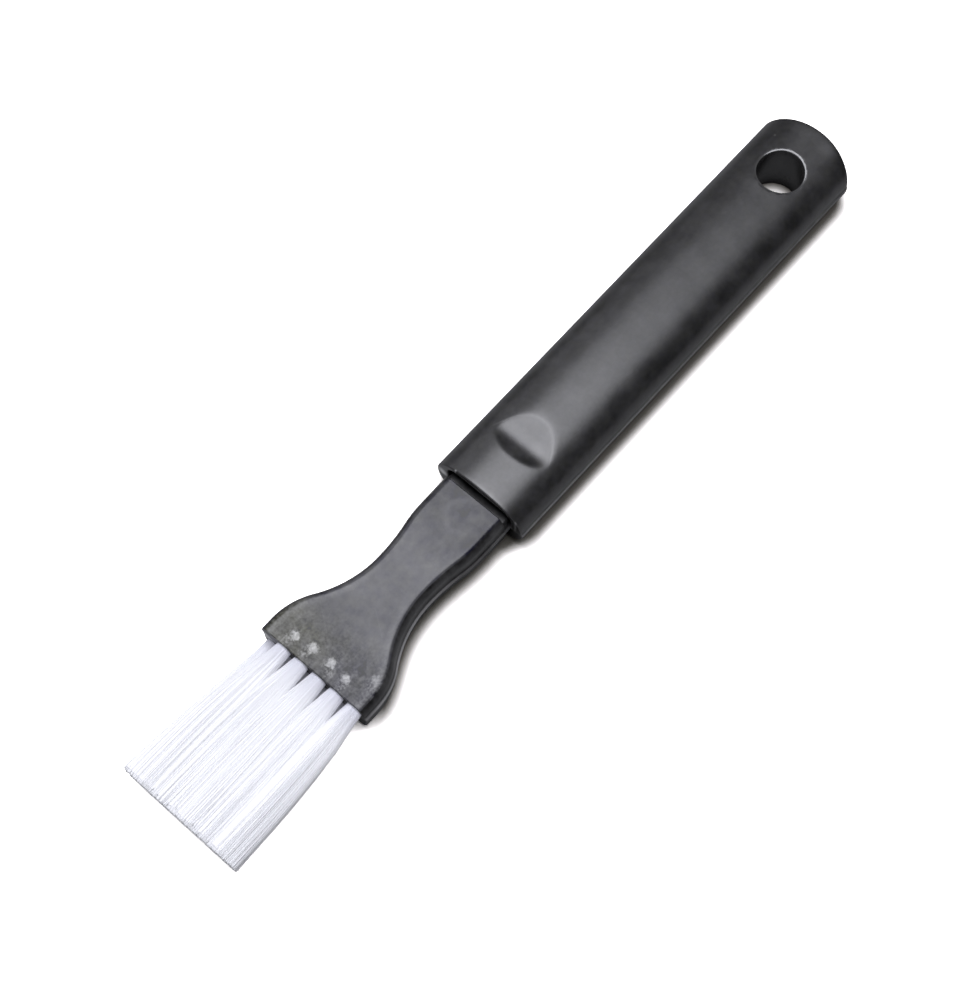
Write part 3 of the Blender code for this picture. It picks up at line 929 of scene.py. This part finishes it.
# Anchors: short strips of bright steel, stamped and driven across each tuft hole over the fold of
# the tuft. They are the solids themselves, with a brushed steel finish.


STEEL_COLOUR = (0.62, 0.61, 0.58, 1)
STEEL_LINES = (400.0, 12000.0, 12000.0)


def streaked(tree, place, scale):
    """A random pattern from 0 to 1 that is drawn out along X."""
    stretch = add_node(tree, "ShaderNodeMapping", {"Vector": place, "Scale": scale})
    return noise(tree, stretch.outputs[0], 1.0)


def brushed_steel():
    """Bright steel with the fine lines that rolling left in the strip."""
    made, tree, shader, place, _ = new_finish("bright_steel")
    shader.inputs["Base Color"].default_value = STEEL_COLOUR
    shader.inputs["Metallic"].default_value = 1.0
    lines = streaked(tree, place, STEEL_LINES)
    plug(tree, shader.inputs["Roughness"], lines * 0.2 + 0.2)
    bump = add_node(tree, "ShaderNodeBump", {"Strength": 0.3, "Distance": 0.00002, "Height": lines})
    plug(tree, shader.inputs["Normal"], bump.outputs[0])
    return made


anchor_finish = brushed_steel()
for name, _, _, _ in tuft_roots():
    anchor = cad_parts["anchor_" + name]
    for slot in anchor.material_slots:
        slot.material = anchor_finish


# Bristles: tufts of white nylon filament, folded over their anchors and packed round in the holes.
# The filaments spread as they leave the head, and are trimmed flat at the tips.

bristle_sizes = {
    "front": HEAD_FRONT,
    "root y": 0.0,
    "root z": 0.0,
    "tip y": 0.0,
    "tip z": 0.0,
    "plug radius": 0.0015,
    "tip width": 0.0070,
    "tip thickness": 0.0031,
    "length": 0.0384,
    "depth in hole": 0.0034,
    "filament radius": 0.000075,
    "spread power": 2.6,
    "swell low": 0.0007,
    "swell high": 0.0007,
    "stray": 0.00011,
    "clump": 0.00007,
    "split": 0.0,
    "core middle": 0.0,
    "core share": 0.955,
    "trim": 0.0004,
    "filaments": 900,
    "seed": 1,
}
FILAMENT_POINTS = 8
FILAMENT_SIDES = 4
FILAMENT_SMOOTH = math.radians(80)
CORE_ROUND = 32
CORE_END_SHARE = 0.978
GOLDEN_ANGLE = math.pi * (3 - math.sqrt(5))
ROOT_CROWDING = 0.4
CLUMP_TURNS = 20.0
WAVE_TURNS = 5
TIP_PITCH = 0.00525
TIP_SHIFT = 0.0012
TIP_HEIGHT = 0.0015
LOWER_ROW_SHORTER = 0.0003
NYLON_STREAKS = (60.0, 2500.0, 2500.0)
NYLON_SHADED_ROOT = (0.70, 0.705, 0.77)
NYLON_TIP = (0.89, 0.895, 0.915)
NYLON_ROOT_SHADE_REACH = 0.009


def nylon():
    """White nylon, with painted shade that greys it near the roots, where light gets lost in the dark
    head.
    """
    made, tree, shader, place, (x, _, _) = new_finish("white_nylon")
    streaks = streaked(tree, place, NYLON_STREAKS)
    outward = 1 - (1 - ramp(x, HEAD_FRONT, NYLON_ROOT_SHADE_REACH)) ** 2
    channels = [
        (outward * (tip - root) + root) * (1.02 - streaks * 0.04)
        for root, tip in zip(NYLON_SHADED_ROOT, NYLON_TIP)
    ]
    plug(tree, shader.inputs["Base Color"], colour_of(tree, channels))
    plug(tree, shader.inputs["Roughness"], streaks * 0.2 + 0.45)
    return made


nylon_finish = nylon()
bristle_tree, b = geometry_tree("bristle_tuft", bristle_sizes)


def random_share(key, low=-1.0, high=1.0):
    """A random number for each filament, the same on each run."""
    made = add_node(
        bristle_tree,
        "FunctionNodeRandomValue",
        {"ID": filament, "Seed": b["seed"] * 16 + key},
        data_type="FLOAT",
    )
    plug(bristle_tree, made.inputs[2], low)
    plug(bristle_tree, made.inputs[3], high)
    return Field(bristle_tree, made.outputs[1])


line = add_node(
    bristle_tree, "GeometryNodeCurvePrimitiveLine", {"Start": (0, 0, 0), "End": (1, 0, 0)}
)
stepped = add_node(
    bristle_tree, "GeometryNodeResampleCurve", {"Curve": line.outputs[0], "Count": FILAMENT_POINTS}
)
copies = add_node(
    bristle_tree,
    "GeometryNodeDuplicateElements",
    {"Geometry": stepped.outputs[0], "Amount": b["filaments"]},
    domain="SPLINE",
)
curve_of_point = bristle_tree.nodes.new("GeometryNodeCurveOfPoint")
filament = Field(bristle_tree, curve_of_point.outputs["Curve Index"])
along = Field(bristle_tree, bristle_tree.nodes.new("GeometryNodeSplineParameter").outputs["Factor"])


def fanned(x, across, up):
    """Where a spot of the round root, from -1 to 1 across and up, is this far out of the head."""
    share = (x / b["length"]).most(0.0)
    fan = 1 - (1 - share).most(0.0) ** b["spread power"]
    swell = (1 - (1 - share).most(0.0) ** 10) * (1 - share).most(0.0) ** 1.5
    swell = (across.most(0.0) * b["swell high"] + across.least(0.0) * b["swell low"]) * swell
    square = (across**2 + up**2).sqrt() / abs(across).most(abs(up)).most(0.001)
    root_y = b["root y"] + across * (b["plug radius"] - b["filament radius"])
    root_z = b["root z"] + up * (b["plug radius"] - b["filament radius"])
    tip_y = b["tip y"] + across * square * b["tip width"] / 2
    tip_z = b["tip z"] + up * square * b["tip thickness"] / 2
    return share, root_y + (tip_y - root_y) * fan + swell, root_z + (tip_z - root_z) * fan


reach = ((filament + 0.5) / b["filaments"]) ** ROOT_CROWDING
turn = filament * GOLDEN_ANGLE + random_share(1) * 0.2
across, up = reach * turn.cos(), reach * turn.sin()
length = b["length"] - b["trim"] * random_share(2, 0.0, 1.0)
x = along * (length + b["depth in hole"]) - b["depth in hole"]
share, y, z = fanned(x, across, up)
loose = (abs(random_share(7)) ** 14 * 3 + 1) * b["stray"] * share
wave_y = (share * WAVE_TURNS + random_share(5) * math.pi).sin() * 0.5
wave_z = (share * WAVE_TURNS + random_share(6) * math.pi).sin() * 0.5
gathered = (across * CLUMP_TURNS + b["seed"]).sin() * b["clump"] * share**2
parted = ramp(across, 0.5, 0.12) * b["split"] * share
y = y + (random_share(3) + wave_y) * loose + gathered + parted
z = z + (random_share(4) + wave_z) * loose
spot = add_node(bristle_tree, "ShaderNodeCombineXYZ", {"X": x + b["front"], "Y": y, "Z": z})
laid = add_node(
    bristle_tree,
    "GeometryNodeSetPosition",
    {"Geometry": copies.outputs["Geometry"], "Position": spot.outputs[0]},
)
round_section = add_node(
    bristle_tree,
    "GeometryNodeCurvePrimitiveCircle",
    {"Resolution": FILAMENT_SIDES, "Radius": b["filament radius"]},
    mode="RADIUS",
)
filaments = add_node(
    bristle_tree,
    "GeometryNodeCurveToMesh",
    {"Curve": laid.outputs[0], "Profile Curve": round_section.outputs[0], "Fill Caps": True},
)


def core_place(x, reach, turn):
    """A spot of the tuft's core, the filaments too deep inside it to tell apart."""
    middle = b["core middle"]
    across = turn.cos() * reach * (b["core share"] - abs(middle)) + middle
    _, y, z = fanned(x, across, turn.sin() * reach * b["core share"])
    return x + b["front"], y, z


def core_root(along, turn):
    return core_place(along * 0 - b["depth in hole"], along, turn)


def core_side(along, turn):
    x = along * (b["length"] * CORE_END_SHARE + b["depth in hole"]) - b["depth in hole"]
    return core_place(x, along * 0 + 1, turn)


def core_tip(along, turn):
    return core_place(along * 0 + b["length"] * CORE_END_SHARE, 1 - along, turn)


core = closed_skin(
    bristle_tree,
    [
        band(bristle_tree, rows, CORE_ROUND, place)
        for rows, place in ((2, core_root), (18, core_side), (2, core_tip))
    ],
)
whole_tuft = bristle_tree.nodes.new("GeometryNodeJoinGeometry")
for part in (core, filaments.outputs[0]):
    plug(bristle_tree, whole_tuft.inputs[0], part)
close_tree(bristle_tree, whole_tuft.outputs[0], nylon_finish)

for count, (name, level, column, root) in enumerate(tuft_roots()):
    sizes = dict(bristle_sizes)
    sizes["root y"], sizes["root z"] = root
    sizes["tip y"] = column * TIP_PITCH + level * TIP_SHIFT
    sizes["tip z"] = HEAD_AXIS + level * TIP_HEIGHT
    sizes["seed"] = count + 1
    if name == "upper_5":
        sizes["split"], sizes["clump"], sizes["core middle"] = 0.0003, 0.00017, -0.25
    if column == -2:
        sizes["swell low"] = 0.0
    if name == "lower_1":
        sizes["spread power"] = 1.3
    if level < 0:
        sizes["length"] -= LOWER_ROW_SHORTER
    tuft = grown_piece("bristles_" + name, bristle_tree, sizes)
    tuft.data.shade_smooth()
    tuft.data.set_sharp_from_angle(angle=FILAMENT_SMOOTH)
    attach(tuft, "root")
    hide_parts("tuft_" + name)


# Studio: a plain white table under one large soft lamp, with two weak panels, one beside the brush
# and one before its tips, and a dim even fill from all round. Only the camera sees table and air
# as pure white. A painted shadow darkens the table where the brush stands close over it; it is
# lifted under the bristles and under the hanging hole, and painted light brightens the table under
# the bristles.

FLOOR_HALF = 0.6
FLOOR_COLOUR = 0.36
FLOOR_SEEN = (2.20, 2.14, 2.05)
CONTACT_SHADE = (0.086, 0.082, 0.074)
UNDER_BRISTLE_LIGHT = 0.8
CONTACT_REACH = 0.006
CONTACT_OPEN = (0.55, 0.83)
UNDER_BRISTLES = (HEAD_FRONT - 0.006, 0.008)
UNDER_HOLE_REACH = 0.0056
UNDER_HOLE_OPEN = 0.65
LAMP_COLOUR = (0.98, 0.985, 1.045)
LAMP_SIZE = (0.62, 1.04)
LAMP_PLACE = Vector((-0.08, -0.07, 1.07))
LAMP_RADIANCE = 6.5
SIDE_SIZE = (0.8, 0.7)
SIDE_PLACE = Vector((-0.15, -1.0, 0.65))
SIDE_RADIANCE = 0.88
FRONT_SIZE = (0.5, 0.8)
FRONT_PLACE = Vector((0.9, -0.1, 0.30))
FRONT_RADIANCE = 1.6
FILL = 0.06

def from_camera(tree):
    """1 for what the camera sees, and 0 for all other light."""
    return Field(tree, tree.nodes.new("ShaderNodeLightPath").outputs["Is Camera Ray"])


floor_mesh = bpy.data.meshes.new("floor")
floor_corners = [(-1, -1, 0), (1, -1, 0), (1, 1, 0), (-1, 1, 0)]
floor_mesh.from_pydata([Vector(corner) * FLOOR_HALF for corner in floor_corners], [], [(0, 1, 2, 3)])
floor = placed("floor", floor_mesh)
floor_finish, floor_nodes, floor_shader, _, (floor_x, floor_y, _) = new_finish("white_table")
floor_shader.inputs["Roughness"].default_value = 0.9
floor_shader.inputs["Specular IOR Level"].default_value = 0.0
seen = from_camera(floor_nodes)
# Painted shadow: the table's colour darkens where ambient occlusion finds the brush close over it.
opening = add_node(
    floor_nodes, "ShaderNodeAmbientOcclusion", {"Distance": CONTACT_REACH}, samples=32
)
shut, clear = CONTACT_OPEN
open_share = ramp(Field(floor_nodes, opening.outputs["AO"]), shut, clear - shut)
# The painted shadow is lifted under the bristles and, partly, under the hanging hole.
under_bristles = ramp(floor_x, *UNDER_BRISTLES)
under_hole = dab(floor_x, floor_y, (HOLE_CENTRE, 0.0), UNDER_HOLE_REACH) * 1.7
open_share = open_share.most(under_bristles).most(under_hole.least(UNDER_HOLE_OPEN))
floor_channels = []
for white, shade in zip(FLOOR_SEEN, CONTACT_SHADE):
    # Painted light: to the camera the table is brighter under the bristles.
    plain = seen * (under_bristles * white * UNDER_BRISTLE_LIGHT + (white - FLOOR_COLOUR)) + FLOOR_COLOUR
    floor_channels.append(plain * (open_share * (1 - shade) + shade))
plug(floor_nodes, floor_shader.inputs["Base Color"], colour_of(floor_nodes, floor_channels))
floor.data.materials.append(floor_finish)


def soft_lamp(name, place, size, radiance):
    """A rectangular lamp that faces the brush, and is this bright per unit of solid angle."""
    made = placed(name, bpy.data.lights.new(name, "AREA"))
    made.data.shape = "RECTANGLE"
    made.data.size, made.data.size_y = size
    made.data.energy = radiance * math.pi * size[0] * size[1]
    made.data.color = LAMP_COLOUR
    across = Vector((1, 0, 0))
    normal = place.normalized()
    upright = normal.cross(across).normalized()
    across = upright.cross(normal)
    turn = Matrix((across, upright, normal)).transposed().to_4x4()
    made.matrix_world = Matrix.Translation(place) @ turn


soft_lamp("softbox", LAMP_PLACE, LAMP_SIZE, LAMP_RADIANCE)
soft_lamp("side_panel", SIDE_PLACE, SIDE_SIZE, SIDE_RADIANCE)
soft_lamp("front_panel", FRONT_PLACE, FRONT_SIZE, FRONT_RADIANCE)

world = bpy.data.worlds.new("studio")
world.use_nodes = True
world_nodes = world.node_tree
background = world_nodes.nodes["Background"]
background.inputs["Color"].default_value = (1, 1, 1, 1)
plug(world_nodes, background.inputs["Strength"], from_camera(world_nodes) * (1 - FILL) + FILL)
bpy.context.scene.world = world
bpy.context.scene.view_settings.view_transform = "Standard"


# Camera: where the photograph was taken from, as fitted to measured points of the brush. It looks
# down on the brush from over the near side of its tips, turned a little about its own line of sight.

CAMERA_PLACE = Vector((0.13092, 0.10888, 0.40580))
CAMERA_AIM = Vector((0.01019, -0.00170, 0.00700))
CAMERA_ROLL = math.radians(-1.173)
CAMERA_LENS = 76.99

camera = placed("camera", bpy.data.cameras.new("camera"))
camera.data.lens = CAMERA_LENS
camera.data.sensor_width = 36.0
camera.data.clip_start = 0.01
aim = (CAMERA_AIM - CAMERA_PLACE).to_track_quat("-Z", "Y").to_matrix().to_4x4()
camera.matrix_world = Matrix.Translation(CAMERA_PLACE) @ aim @ Matrix.Rotation(CAMERA_ROLL, 4, "Z")
bpy.context.scene.camera = camera
